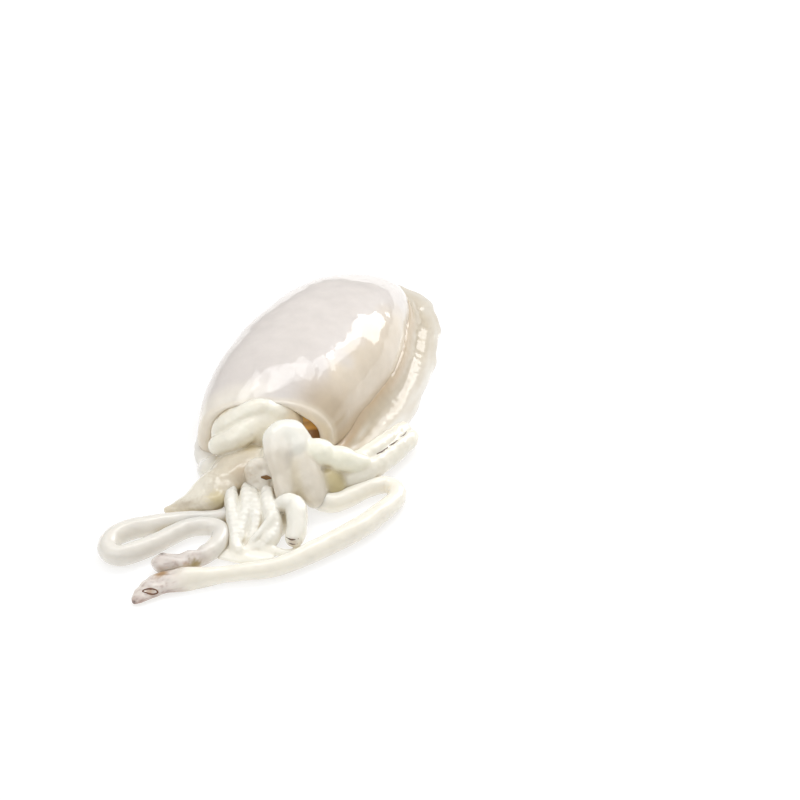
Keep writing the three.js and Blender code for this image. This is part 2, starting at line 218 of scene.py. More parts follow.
# Round masses of the head and under the front arms: centre, radii and softness
HEAD_MASSES = {
    "cheek": ((2, -79, 6), (15, 12, 8), 4.0),
    "cheek_side": ((-12.5, -79, 3), (8.5, 8, 5), 4.0),
    "crown": ((23, -71.5, 12), (16, 14, 12.5), 3.0),
    "crown_top": ((21.5, -68.5, 22), (9.5, 8, 8), 2.0),
    "crown_front": ((24.5, -73, 23), (6.5, 6, 7.5), 3.0),
    "recess": ((41, -73, 7), (8.5, 8, 8.5), 1.4),
    "recess_back": ((38, -61, 5), (10, 8, 10), 2.0),
    "funnel_core": ((-1, -59, 17), (14, 9, 9), 3.0),
    "funnel_side": ((-12.5, -66, 14), (8, 8, 10), 3.0),
    "funnel_back": ((-13, -62, 19), (5.5, 5.5, 5.5), 3.0),
    "funnel_rim": ((-11.5, -61.2, 21.2), (4.2, 3.8, 4.9), 3.0),
    "funnel_base": ((-3, -68.5, 13), (3, 3, 3), 2.0),
    "neck_side": ((9.5, -50, 18), (7, 7, 10), 2.5),
}
ARM_MASSES = {
    "arm_web": ((20, -101, 0.5), (15, 18, 7), 2.0),
    "arm_web_front": ((24, -115, 0), (10, 10, 4.5), 2.0),
    "arm5_root": ((29, -97, 6.3), (1.5, 1.5, 1.5), 1.0),
}

# The neck in the pocket of the mantle
NECK_GAP = -0.4  # it presses against the wall
NECK_OUT = 3.0
NECK_IN = 20.0
NECK_ROUNDING = {"share": 0.02, "power": 12}
NECK_NARROWING = 0.25
NECK_HOLLOW = {"start": 10.0, "end": 18.0, "depth": 6.5}  # where it falls back on the right
MEMBRANE = {"pale": (11.0, 15.0), "dark": (19.0, 22.0), "ragged": 1.5}

# The ring of lip round the beak
LIP_RING = {
    "centre": (16.5, -86.5, 14), "facing": (0.25, -0.85, 0.45), "radius": 6.0, "thickness": 3.2, "soft": 1.5,
    "lobes": 3.0, "lobe": 0.14,
}
LIP_PLUG = {"back": 2.0, "radius": 5.4, "soft": 2.0}
BEAK = {"side": 1.3, "lift": 0.2, "length": 3.8, "radius": 1.1, "height": 0.6, "domes": 7, "out": 5.6}
LIP_WRINKLES = {"count": 10, "depth": 0.36, "crooked": 2.8, "fade": (1.2, 0.2)}

# Soft suckers in two rows along some arms
SUCKER_ARMS = ("arm2", "arm3", "arm3_fold", "arm4", "arm6")
SUCKERS = {"step": 2.4, "radius": 0.95, "height": 0.32, "turn": 62.0}

# Thin brown lines: the groove of the last arm and the slits at the tip of the fifth
DARK_LINES = {
    "groove_a": [(54.5, -51, 13, 0.26), (56, -47.5, 13, 0.34), (57, -43.5, 13, 0.24)],
    "groove_b": [(57, -42, 13, 0.2), (58, -39, 12.5, 0.3), (58.5, -36, 12.5, 0.18)],
    "groove_c": [(58.5, -33.5, 12, 0.16), (59, -30.5, 12, 0.26), (59, -27, 12, 0.14)],
    "slit_a": [(39.5, -113.5, 7.5, 0.15), (43, -114, 7.5, 0.36), (46, -112, 7.5, 0.15)],
    "slit_b": [(41, -116, 5.5, 0.1), (44, -116, 5.5, 0.26), (47, -114, 5.5, 0.1)],
}

# The clubs, and the large sucker on one: a flat oval ring whose longer radius runs along a turn from +X
CLUB = {"start": 30.0, "full": 17.0, "flatter": 0.56, "lumps": 0.5}
# Tints of the clubs: evenness, speckle, and painted shade on their low side that faces the front, by facing
# and height
CLUB_TINTS = {
    "even": 0.85, "speckle": 0.4, "specks": (0.1, 1.4), "edge": 0.75, "facing": (-0.1, -0.8),
    "height": (4.0, 1.5),
}
CLUB_SUCKER = {"centre": (1.9, -164.6), "long": 3.1, "short": 1.0, "turn": 24.0, "thickness": 0.36}

# Fineness of the meshes
MANTLE_GRID = {"stations": 170, "lip": 10, "inside": 14, "sides": 220, "crowding": 0.6}
FIN_GRID = {"steps": 620, "sides": 36, "nudge": 0.01}
LIMB_STEP = 0.55
LIMB_SIDES = 52
NECK_GRID = {"steps": 40, "sides": 120}
DOME_GRID = {"rings": 12, "sides": 24, "pole": 0.02}
LINE_GRID = {"step": 0.3, "sides": 10}
RING_BEADS = 40
SUCKER_STEPS = 48
CURVE_SAMPLES = 40
TIP_CROWDING = 1.25  # draws the points of a limb closer together toward its tip
BLUNT_END = 0.12  # the least radius at the end of a limb, as a share
CLAY_STEP = 0.5
CLAY_REACH = 4.0  # how far from a bead its distance is worked out
CLAY_MARGIN = 3.0
CLAY_SMOOTHING = 2
RELAX = (0.5, -0.52)  # there and back, so that nothing shrinks
PINCH_PASSES = 3
PINCH_FILL = 0.1
BEAD_STEP = 1.0
TINT_BLEND = 0.8  # how far the tints of neighbouring parts run into each other
FAR = 50.0
TINY = 1e-9

# Unevenness of each kind of flesh: height, wavelength and seed of each swell
UNEVEN = {
    "mantle": [(0.30, 26.0, 1), (0.06, 9.0, 2), (0.016, 4.0, 25)],
    "fin": [(0.11, 5.0, 23)],
    "fin_flap": [(0.2, 7.0, 9)],
    "clay": [(0.22, 11.0, 3), (0.12, 4.5, 4), (0.03, 2.2, 22)],
    "tentacle": [(0.14, 12.0, 5), (0.06, 4.0, 6)],
}
TABLE_FADE = 3.0  # height above the table where the unevenness is full

# Colours in sRGB, most as they look in even light; some hold painted shade or painted light, as noted
TINT = {
    "mantle_top": (222, 215, 210),
    "mantle_side": (225, 212, 193),
    # painted warm shade beside the fin
    "mantle_rim": (198, 172, 136),
    "mantle_shade": (202, 184, 158),
    # painted light near the lip
    "lip_painted_light": (250, 243, 228),
    "lip_edge": (238, 228, 211),
    "fin_root": (208, 197, 178),
    "fin_shade": (198, 186, 164),
    "fin_middle": (216, 208, 194),
    "fin_edge": (230, 227, 220),
    "flesh": (242, 237, 223),
    "knob": (250, 245, 235),
    # painted light: a lighter flesh for an arm that lies on the shaded side
    "arm_painted_light": (255, 249, 230),
    "funnel": (246, 241, 227),
    # painted shade: a darker copy of the flesh for the first arm and cheek, which face away from the light
    "first_arm_painted_shade": (214, 204, 184),
    "strip": (228, 220, 205),
    "web": (216, 205, 180),
    "flap": (238, 235, 229),
    "ring": (240, 233, 220),
    "front_arm": (244, 241, 231),
    "tentacle": (231, 227, 219),
    "pale_limb": (243, 238, 226),
    "club": (218, 209, 203),
    # speckle of the clubs, and painted shade on their low front side
    "club_speckle_and_shade": (150, 116, 104),
    "dark_tip": (84, 58, 52),
    "rust": (170, 128, 70),
    "olive": (158, 138, 88),
    "olive_shade": (204, 190, 146),
    # painted shade in folds
    "painted_crease_shade": (170, 148, 116),
    "membrane": (250, 188, 74),
    "membrane_dark": (150, 92, 18),
    "neck": (232, 216, 188),
    "beak": (120, 80, 18),
    # brown of the thin lines in the groove and slits
    "dark_line_brown": (96, 72, 54),
    "sucker_ring": (112, 74, 52),
    "sucker_cup": (204, 178, 152),
}
TINTED_PARTS = {
    "first_arm_painted_shade": ("arm1", "arm1_web", "cheek"),
    "flap": ("cheek_side",),
    "ring": ("lip_ring", "lip_plug"),
    "olive_shade": ("recess", "recess_back"),
    "web": ("web",),
    "strip": ("arm5", "arm_sheet", "arm6"),
    "arm_painted_light": ("arm7",),
    "knob": ("knob", "crown_top", "crown_front"),
    "funnel": ("funnel_upper", "funnel_lower", "funnel_core", "funnel_side"),
    "neck": ("funnel_back", "funnel_rim", "neck_side"),
    "pale_limb": ("tentacle_right",),
    "tentacle": ("tentacle_left",),
}
PART_TINT = {part: tint for tint, parts in TINTED_PARTS.items() for part in parts}
BLOT_EDGE = {"ragged": 0.25, "wavelength": 1.6, "full": 0.2}
# Blots of colour: centre, reach, tint and how strong
BLOTS = {
    "tentacle_right": [
        ((1, -153.5, 5), 4.4, "rust", 0.85), ((9.2, -150, 5), 3.0, "rust", 0.5),
        ((-2.5, -171.5, 1.5), 2.0, "dark_tip", 0.8), ((1.9, -164.6, 3.8), 2.4, "sucker_cup", 0.8),
    ],
    "tentacle_left": [
        ((11, -142, 4), 4.2, "olive", 0.95), ((8, -144.5, 5), 2.6, "rust", 0.4),
        ((-3, -145.5, 7.5), 2.0, "dark_tip", 0.7), ((5.5, -148, 7), 1.6, "club_speckle_and_shade", 0.6),
    ],
    "front_arms": [((43.5, -114.5, 6), 3.4, "rust", 0.3)],
    "head": [
        # The flesh blots lift the left of the first arm back to plain flesh, so that its painted shade stays
        # on the right
        ((-12, -102, 10), 16.0, "flesh", 0.8), ((-12, -84, 6), 9.0, "flesh", 0.7),
        ((1, -72.5, 13), 6.0, "olive_shade", 0.6), ((3, -105.5, 11.5), 7.0, "olive_shade", 0.75),
        ((6.5, -88.5, 15), 8.0, "mantle_shade", 0.6),
        # Painted shade along the fold where the first arm lies over the left tentacle
        ((-12.8, -110.5, 5.5), 2.2, "painted_crease_shade", 0.4), ((-11, -110.4, 6.5), 2.2, "painted_crease_shade", 0.4),
        ((-9.2, -110, 7.2), 2.2, "painted_crease_shade", 0.4), ((-7.4, -109.2, 7.9), 2.2, "painted_crease_shade", 0.4),
    ],
}

# Wet flesh: the share of light that goes in and how far it spreads, the scale and depth of its finest
# unevenness, the tint of the painted shade in its creases with its reach and strength, and its wet coat
FLESH = {
    "mantle": ((0.3, 4.0), (420.0, 0.018), ((184, 156, 120), 4.0, 0.3), 1.0),
    "fin": ((0.3, 3.0), (300.0, 0.04), ((190, 164, 128), 4.0, 0.4), 0.8),
    "arm": ((0.6, 3.0), (420.0, 0.02), ((186, 164, 116), 5.0, 0.5), 0.9),
    "limb": ((0.7, 5.0), (380.0, 0.02), ((206, 190, 156), 4.0, 0.5), 1.0),
    "small": ((0.0, 1.0), (600.0, 0.03), ((190, 166, 120), 1.0, 0.2), 0.8),
}
WET = {"IOR": 1.35, "Coat_IOR": 1.5, "Coat_Roughness": 0.03, "Subsurface_Radius": (1.0, 0.97, 0.93)}
NOISE_SPAN = (0.3, 0.7)
MOTTLE = {"scale": 130.0, "value": (0.95, 1.03)}
DAMPNESS = {"scale": 90.0, "roughness": (0.32, 0.5)}
# Ambient occlusion over which the painted crease shade fades in, and the rays taken for it
CREASE_SPAN = (0.15, 0.7)
CREASE_SAMPLES = 8

# The table, the light and the camera
CAMERA = {"azimuth": 24.0, "elevation": 36.0, "distance": 1000.0, "target": (40.0, 8.0, 0.0)}
LENS = 94.5
SENSOR = 36.0
TABLE_SIZE = 6000.0
TABLE_DROP = 0.05
TABLE_BASE = 0.42
TABLE_GLOW = 0.62  # lights the table past white
# The windows of the room, each with its azimuth, elevation, width, height, roll and brightness
WINDOWS = [
    (18, 27, 500, 820, -33, 4.2), (27, 42, 460, 220, 0, 3.2), (20, 55, 460, 320, 0, 3.1),
    (0, 67, 480, 250, 0, 2.7), (-28, 71, 400, 240, 0, 2.35), (-52, 68, 340, 240, 0, 2.35),
    (-72, 60, 300, 260, 0, 2.5),
]
ROOM = (0.24, 0.8)  # brightness of the room at the height of the table and straight above
WINDOW_DISTANCE = 1300.0
CEILING = {
    "azimuth": -160.0, "elevation": 55.0, "distance": 1600.0, "size": (1500.0, 1200.0), "roll": 0.0,
    "brightness": 1.1,
}
ROOM_TINT = (1.0, 0.995, 0.985, 1.0)


def smoothstep(start, end, value):
    t = np.clip((value - start) / (end - start), 0.0, 1.0)
    return t * t * (3.0 - 2.0 * t)


def blend(a, b, share):
    return a + (b - a) * share


def fuller(value, power):
    """A power of a sine or cosine that keeps its sign."""
    return np.sign(value) * np.abs(value) ** power


def unit(vectors):
    vectors = np.asarray(vectors, float)
    return vectors / np.linalg.norm(vectors, axis=-1, keepdims=True)


def full_turn(count):
    """Even angles all the way round."""
    return np.linspace(0.0, 2.0 * math.pi, count, endpoint=False)


def linear(srgb):
    """Linear colour of an sRGB one of 0 to 255."""
    share = np.asarray(srgb, float) / 255.0
    return np.where(share <= 0.04045, share / 12.92, ((share + 0.055) / 1.055) ** 2.4)


def swell(points, wavelength, seed, waves=14):
    """A smooth random height field over points, of about that wavelength and mostly within -1 to 1."""
    rng = np.random.default_rng(seed)
    total = np.zeros(len(points))
    for _ in range(waves):
        run = unit(rng.normal(size=3)) * 2.0 * math.pi / (wavelength * rng.uniform(0.7, 1.4))
        total += np.sin(points @ run + rng.uniform(0.0, 2.0 * math.pi))
    return total / math.sqrt(2.0 * waves)


def unevenness(points, kind):
    """Height of the swells of a kind of flesh at each point."""
    return sum(height * swell(points, wavelength, seed) for height, wavelength, seed in UNEVEN[kind])


# Meshes from arrays


def skin_rings(rings):
    """Points and faces of a closed skin over rings of points, with a point in the middle of each end."""
    count, sides, _ = rings.shape
    points = np.vstack([rings.reshape(-1, 3), rings[0].mean(axis=0), rings[-1].mean(axis=0)])
    row = np.arange(count - 1)[:, None] * sides
    here = np.arange(sides)[None, :]
    following = (here + 1) % sides
    quads = np.stack([row + here, row + following, row + sides + following, row + sides + here], axis=-1)
    faces = quads.reshape(-1, 4).tolist()
    last = (count - 1) * sides
    for i in range(sides):
        after = (i + 1) % sides
        faces.append((count * sides, after, i))
        faces.append((count * sides + 1, last + i, last + after))
    return points, faces


def joined(solids):
    """Several (points, faces) as one."""
    points = np.vstack([solid[0] for solid in solids])
    faces = []
    start = 0
    for solid_points, solid_faces in solids:
        faces.extend(tuple(start + i for i in face) for face in solid_faces)
        start += len(solid_points)
    return points, faces


def new_mesh(name, points, faces):
    mesh = bpy.data.meshes.new(name)
    mesh.from_pydata((np.asarray(points) * MM).tolist(), [], faces)
    mesh.update()
    return mesh


def mesh_points(mesh):
    flat = np.empty(len(mesh.vertices) * 3)
    mesh.vertices.foreach_get("co", flat)
    return flat.reshape(-1, 3) / MM


def mesh_normals(mesh):
    flat = np.empty(len(mesh.vertices) * 3)
    mesh.vertices.foreach_get("normal", flat)
    return flat.reshape(-1, 3)


def closed_mesh(name, points, faces):
    """A mesh whose faces all point outwards."""
    mesh = new_mesh(name, points, faces)
    work = bmesh.new()
    work.from_mesh(mesh)
    bmesh.ops.recalc_face_normals(work, faces=work.faces)
    work.to_mesh(mesh)
    work.free()
    return mesh


def move_points(mesh, points):
    points = points.copy()
    points[:, 2] = np.maximum(points[:, 2], 0.0)
    mesh.vertices.foreach_set("co", (points * MM).ravel())
    mesh.update()


def raise_skin(mesh, points, heights, clear=TABLE_FADE):
    """Moves points out along the skin by heights that fade away toward the table."""
    near_table = smoothstep(0.0, clear, points[:, 2])
    points = points + mesh_normals(mesh) * (heights * near_table)[:, None]
    move_points(mesh, points)
    return points


def toward(colours, name, share):
    """Linear colours blended towards a named tint by a share of each point."""
    return blend(colours, linear(TINT[name]), np.asarray(share)[..., None])


def blotted(points, colours, name):
    """Colours with the blots of a piece, whose edges are ragged."""
    ragged = 1.0 + BLOT_EDGE["ragged"] * swell(points, BLOT_EDGE["wavelength"], 21)
    for centre, reach, tint, share in BLOTS.get(name, []):
        away = np.linalg.norm(points - np.array(centre), axis=1) / reach * ragged
        colours = toward(colours, tint, share * smoothstep(1.0, BLOT_EDGE["full"], away))
    return colours


def set_tint(mesh, colours):
    """Stores a linear colour for each point, which the flesh material reads."""
    layer = mesh.attributes.new("tint", "FLOAT_COLOR", "POINT")
    rgba = np.ones((len(mesh.vertices), 4))
    rgba[:, :3] = colours
    layer.data.foreach_set("color", rgba.ravel())


def add_object(name, data):
    item = bpy.data.objects.new(name, data)
    bpy.context.collection.objects.link(item)
    return item


def new_piece(mesh, material):
    mesh.polygons.foreach_set("use_smooth", [True] * len(mesh.polygons))
    mesh.materials.append(material)
    piece = add_object(mesh.name, mesh)
    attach(piece, "root")
    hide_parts("cuttlefish")
    return piece


# Outline of the mantle at each place along its length


def mantle_centre_x(y):
    bend = np.where(y < 0, MANTLE_AXIS["bend"] * y * y, 0.0)
    return MANTLE_AXIS["offset"] + MANTLE_AXIS["slope"] * y + bend


def mantle_share(y):
    return np.minimum(np.where(y < 0, y / MANTLE_FRONT_Y, y / MANTLE_TAIL_Y), TAIL_SHARE)


def mantle_half_width(y, side):
    full = np.where(side > 0, FRONT_TAPER["right"], FRONT_TAPER["left"])
    taper = full * smoothstep(FRONT_TAPER["start"], FRONT_TAPER["end"], y)
    to_front = smoothstep(RIGHT_SIDE["start"], RIGHT_SIDE["end"], y)
    extra = np.where(side > 0, blend(RIGHT_SIDE["tail"], RIGHT_SIDE["front"], to_front), 0.0)
    return MANTLE_HALF_WIDTH * np.sqrt(1.0 - mantle_share(y) ** 2) * (1.0 - taper) * (1.0 + extra)


def mantle_rim(y):
    narrow = np.minimum(mantle_half_width(y, 1.0) / RIM_FALL["half_width"], 1.0)
    return RIM_HEIGHT * narrow ** RIM_FALL["power"]


def mantle_top(y):
    rise = (1.0 - mantle_share(y) ** DOME_SWELL["sharpness"]) ** DOME_SWELL["fullness"]
    mouth = 1.0 - MOUTH_DROP["share"] * smoothstep(MOUTH_DROP["start"], MOUTH_DROP["end"], y)
    return (RIM_HEIGHT + (MANTLE_HEIGHT - RIM_HEIGHT) * rise) * mouth


def mantle_section(station, around, inset=0.0, narrowing=0.0):
    """One ring of the mantle's skin, or of its inner face at a depth of inset."""
    slant = MOUTH_SLOPE * smoothstep(MOUTH_SLANT_END_Y, MOUTH_Y, station)
    near_lip = max(1.0 - (station - MOUTH_Y) / LIP_ROLL["depth"], 0.0) ** 2
    across = fuller(np.cos(around), DOME_POWER)
    over = fuller(np.sin(around), DOME_POWER)
    roll = np.where(across > 0, LIP_ROLL["right"], LIP_ROLL["left"]) * near_lip
    tuck = RIM_TUCK["share"] * smoothstep(0.0, RIM_TUCK["down"], over)
    x = np.full_like(around, float(mantle_centre_x(station)))
    for _ in range(3):  # x and y depend on each other, and settle in a few rounds
        y = station + slant * x
        half = mantle_half_width(y, across) * (1.0 - roll) - inset
        x = mantle_centre_x(y) + half * across * (1.0 - tuck) * (1.0 - narrowing)
    rim = mantle_rim(y)
    top = mantle_top(y) * (1.0 - LIP_ROLL["top"] * near_lip) - inset
    rise = np.where(over > 0, (top - rim) * over, 2.0 * rim * over) * (1.0 - narrowing)
    z = np.maximum(rim + rise, inset)
    return np.column_stack([x, y, z])


def wall_thickness(around):
    degrees = np.degrees(around)
    left = math.prod(smoothstep(*span, degrees) for span in WALL_LEFT)
    right = sum(smoothstep(*span, degrees) for span in WALL_RIGHT)
    extra = (WALL["left"] - WALL["top"]) * left + (WALL["right"] - WALL["top"]) * right
    return WALL["top"] + extra


def mantle_rings():
    """Rings from the tail to the mouth, round the lip and into the pocket."""
    around = full_turn(MANTLE_GRID["sides"])
    along = np.linspace(1.0, 0.0, MANTLE_GRID["stations"])
    both_ends = (1.0 - np.cos(along * math.pi)) / 2.0
    tail_end = np.sin(along * math.pi / 2.0)
    stations = MOUTH_Y + (MANTLE_TAIL_Y - MOUTH_Y) * blend(tail_end, both_ends, MANTLE_GRID["crowding"])
    rings = [mantle_section(station, around) for station in stations]
    outer = rings[-1]
    wall = wall_thickness(around)
    inner = mantle_section(MOUTH_Y, around, wall)
    for step in range(1, MANTLE_GRID["lip"]):
        turn = math.pi * step / MANTLE_GRID["lip"]
        bulge = MOUTH_FACING * (math.sin(turn) * wall / 2.0)[:, None]
        rings.append(blend(outer, inner, (1.0 - math.cos(turn)) / 2.0) + bulge)
    for step in range(MANTLE_GRID["inside"]):
        share = step / (MANTLE_GRID["inside"] - 1)
        narrowing = POCKET_NARROWING * share ** 2
        rings.append(mantle_section(MOUTH_Y + POCKET_DEPTH * share, around, wall, narrowing))
    return np.array(rings)


def painted_rim_shade_share(points):
    """How strong the painted warm shade beside the fin is, from the tail to the mouth."""
    return blend(RIM_SHADE["tail"], RIM_SHADE["front"], smoothstep(*RIM_SHADE["span"], points[:, 1]))


def make_mantle(material):
    points, faces = skin_rings(mantle_rings())
    mesh = closed_mesh("mantle", points, faces)
    points = raise_skin(mesh, points, unevenness(points, "mantle"), MANTLE_CLEAR)
    from_lip = points[:, 1] - MOUTH_SLOPE * points[:, 0] - MOUTH_Y
    across = (points[:, 0] - mantle_centre_x(points[:, 1])) / MANTLE_HALF_WIDTH
    # Cooler and greyer on the top, beige down the right side: partly the mantle's own tones, partly a
    # painted reflection on the top and painted shade on the side
    ragged = across + TOP_TINT["ragged"] * swell(points, TOP_TINT["wavelength"], 13)
    colour = toward(linear(TINT["mantle_side"]), "mantle_top", smoothstep(*TOP_TINT["across"], ragged))
    # Painted warm shade on the mantle just above the fin, fading upward
    near_rim = np.exp(-((np.maximum(points[:, 2] - RIM_HEIGHT, 0.0) / RIM_SHADE["height"]) ** 2))
    colour = toward(colour, "mantle_rim", near_rim * painted_rim_shade_share(points))
    # Painted shade and painted light beside the lip
    for tint, spot in LIP_TINTS.items():
        near = smoothstep(*spot["from_lip"], from_lip) * smoothstep(*spot["across"], across)
        colour = toward(colour, tint, spot["share"] * near)
    edge = LIP_EDGE["share"] * smoothstep(LIP_EDGE["reach"], 0.0, from_lip)
    set_tint(mesh, toward(colour, "lip_edge", edge))
    return new_piece(mesh, material)


# Fin


def fin_root(share):
    """Where the fin leaves the mantle: share -1 is the front right, 0 the tail, 1 the front left."""
    front = np.where(share < 0, FIN_FRONT_Y["right"], FIN_FRONT_Y["left"])
    y = front + (MANTLE_TAIL_Y - front) * np.cos(share * math.pi / 2.0)
    side = np.where(share < 0, 1.0, -1.0)
    return np.stack([mantle_centre_x(y) + side * mantle_half_width(y, side), y], axis=-1)


def fin_rings():
    """Rings across the fin, how near to its edge each point is, and its place on the fin laid straight."""
    share = np.linspace(-1.0, 1.0, FIN_GRID["steps"])[:, None]
    around = full_turn(FIN_GRID["sides"])[None, :]
    root = fin_root(share)
    run = unit(fin_root(share + FIN_GRID["nudge"]) - fin_root(share - FIN_GRID["nudge"]))
    outward = np.stack([run[..., 1], -run[..., 0]], axis=-1)
    full = blend(FIN_WIDTH["right"], FIN_WIDTH["left"], smoothstep(*FIN_SPANS["left"], share))
    full = full + FIN_WIDTH["front"] * smoothstep(*FIN_SPANS["front"], share)
    edge_wave = 1.0 + sum(height * np.sin(share * waves + start) for height, waves, start in FIN_EDGE_WAVES)
    rounding = np.sqrt(1.0 - np.abs(share) ** FIN_END_ROUNDING)
    width = full * edge_wave * rounding + FIN_THICKNESS["edge"]
    reach = (1.0 + np.cos(around)) / 2.0 * (width + FIN_ROOT_INSIDE) - FIN_ROOT_INSIDE
    edge = np.clip(reach / width, 0.0, 1.0)
    wave = FIN_WAVES["height"] * edge * np.sin(share * FIN_WAVES["count"] * math.pi)
    sway = FIN_FOLDS["sway"] * np.sin(share * FIN_FOLDS["sways"])
    fold_turn = reach / FIN_FOLDS["width"] * 2.0 * math.pi + sway
    fold = FIN_FOLDS["height"] * np.sin(fold_turn) * smoothstep(0.0, FIN_FOLDS["start"], edge)
    near_end = smoothstep(*FIN_SPANS["ends"], np.abs(share))
    root_height = blend(FIN_HEIGHT["root"], FIN_HEIGHT["end"], near_end)
    rise = FIN_HEIGHT["edge"] + (root_height - FIN_HEIGHT["edge"]) * (1.0 - edge) ** FIN_HEIGHT["fall"]
    thin = smoothstep(0.0, FIN_THICKNESS["thin_at"], edge)
    thickness = blend(FIN_THICKNESS["root"], FIN_THICKNESS["edge"], thin)
    flat = root + outward * reach[..., None]
    places = np.concatenate([flat, 0.0 * flat[..., :1]], axis=-1)
    uneven = unevenness(places.reshape(-1, 3), "fin").reshape(edge.shape)
    ripple = (wave + fold + uneven) * smoothstep(1.0, FIN_CALM_EDGE, edge)
    z = np.maximum(np.maximum(rise + ripple, thickness / 2.0) + np.sin(around) * thickness / 2.0, 0.0)
    spread = np.stack(np.broadcast_arrays(share * FIN_STREAKS["run"], reach, 0.0 * z), axis=-1)
    return np.concatenate([flat, z[..., None]], axis=-1), edge, spread


def make_fin(material):
    rings, edge, spread = fin_rings()
    points, faces = skin_rings(rings)
    mesh = closed_mesh("fin", points, faces)
    ends = [0.0, 0.0]  # the points in the middle of the two ends
    streak = swell(spread.reshape(-1, 3), FIN_STREAKS["width"], 8)
    outer = np.concatenate([edge.ravel() + FIN_STREAKS["share"] * streak, ends])
    painted_glint = np.concatenate([smoothstep(*FIN_STREAKS["painted_glint"], streak), ends])
    reach = np.concatenate([spread[..., 1].ravel(), ends])
    y = points[:, 1]
    shade = smoothstep(*FIN_SHADE["front"], y) + FIN_SHADE["tail_share"] * smoothstep(*FIN_SHADE["tail"], y)
    colour = toward(linear(TINT["fin_root"]), "fin_shade", shade)
    colour = toward(colour, "fin_middle", smoothstep(*FIN_TINTS["middle"], outer))
    colour = toward(colour, "fin_edge", smoothstep(*FIN_TINTS["edge"], outer))
    colour = toward(colour, "fin_shade", FIN_BACK["share"] * smoothstep(*FIN_BACK["span"], y))
    # Painted glints: the brightest streaks turn whiter
    colour = toward(colour, "fin_edge", FIN_STREAKS["strength"] * painted_glint)
    colour = toward(colour, "mantle_side", smoothstep(*FIN_TINTS["root"], reach))
    # Painted warm shade along the crease where the fin leaves the mantle
    painted_crease_shade = np.exp(-((reach - FIN_CREASE["reach"]) / FIN_CREASE["width"]) ** 2)
    set_tint(mesh, toward(colour, "mantle_rim", painted_crease_shade * painted_rim_shade_share(points)))
    return new_piece(mesh, material)


# Limbs


def between(a, b, start, end, t):
    """What is a at start and b at end, at t."""
    return ((end - t) * a + (t - start) * b) / (end - start)


def limb_curve(route, step):
    """Points with radii, and their run, along a centripetal Catmull-Rom curve through the route."""
    knots = np.array(route, float)
    knots = np.vstack([2.0 * knots[0] - knots[1], knots, 2.0 * knots[-1] - knots[-2]])
    pieces = []
    for i in range(1, len(knots) - 2):
        p0, p1, p2, p3 = knots[i - 1:i + 3]
        t1 = np.linalg.norm((p1 - p0)[:3]) ** 0.5
        t2 = t1 + np.linalg.norm((p2 - p1)[:3]) ** 0.5
        t3 = t2 + np.linalg.norm((p3 - p2)[:3]) ** 0.5
        t = np.linspace(t1, t2, CURVE_SAMPLES, endpoint=False)[:, None]
        a1 = between(p0, p1, 0.0, t1, t)
        a2 = between(p1, p2, t1, t2, t)
        a3 = between(p2, p3, t2, t3, t)
        b1 = between(a1, a2, 0.0, t2, t)
        b2 = between(a2, a3, t1, t3, t)
        pieces.append(between(b1, b2, t1, t2, t))
    dense = np.vstack(pieces + [knots[-2][None]])
    gone = np.linalg.norm(np.diff(dense[:, :3], axis=0), axis=1)
    run = np.concatenate([[0.0], np.cumsum(gone)])
    count = int(run[-1] / step)
    even = run[-1] * (1.0 - (1.0 - np.linspace(0.0, 1.0, count)) ** TIP_CROWDING)
    curve = np.column_stack([np.interp(even, run, dense[:, k]) for k in range(4)])
    return curve, even


def limb_frame(centres):
    tangent = unit(np.gradient(centres, axis=0))
    side = unit(np.cross(tangent, UP))
    return side, np.cross(side, tangent)


def limb_rings(route, flat=1.0, step=LIMB_STEP, sides=LIMB_SIDES):
    curve, run = limb_curve(route, step)
    centres = curve[:, :3]
    radius = curve[:, 3]
    side, lift = limb_frame(centres)
    from_end = np.minimum(np.minimum(run[-1] - run, run) / radius, 1.0)
    half = radius * np.maximum(np.sqrt(1.0 - (1.0 - from_end) ** 2), BLUNT_END)
    around = full_turn(sides)
    across = np.cos(around)[None, :, None] * half[:, None, None] * side[:, None, :]
    height = (half * flat)[:, None, None]
    above = np.sin(around)[None, :, None] * height * lift[:, None, :]
    rings = centres[:, None, :] + across + above
    rings[..., 2] = np.maximum(rings[..., 2], 0.0)
    return rings


def across_frame(facing):
    """Two directions square to facing and to each other."""
    facing = unit(facing)
    side = unit(np.cross(UP, facing))
    return side, np.cross(facing, side)


def ring_tube(places, sides=16):
    """Points and faces of a tube round a nearly level loop of places, each x, y, z and radius."""
    places = np.array(places)
    centres = places[:, :3]
    outward = unit(centres - centres.mean(axis=0))
    section = full_turn(sides)[None, :, None]
    around = np.cos(section) * outward[:, None, :] + np.sin(section) * UP
    points = centres[:, None, :] + places[:, None, 3:] * around
    here = np.arange(len(places))[:, None] * sides + np.arange(sides)[None, :]
    beside = np.roll(here, -1, axis=1)
    quads = np.stack([here, beside, np.roll(beside, -1, axis=0), np.roll(here, -1, axis=0)], axis=-1)
    return points.reshape(-1, 3), quads.reshape(-1, 4).tolist()


def smoothed(points, edges, passes):
    """Relaxes points along their edges without shrinking the whole."""
    count = len(points)
    degree = np.bincount(edges.ravel(), minlength=count).astype(float)[:, None]
    for strength in RELAX * passes:
        total = np.zeros_like(points)
        for axis in range(3):
            total[:, axis] = np.bincount(edges[:, 0], points[edges[:, 1], axis], count)
            total[:, axis] += np.bincount(edges[:, 1], points[edges[:, 0], axis], count)
        points = points + strength * (total / degree - points)
    return points


# Soft forms that flow into each other


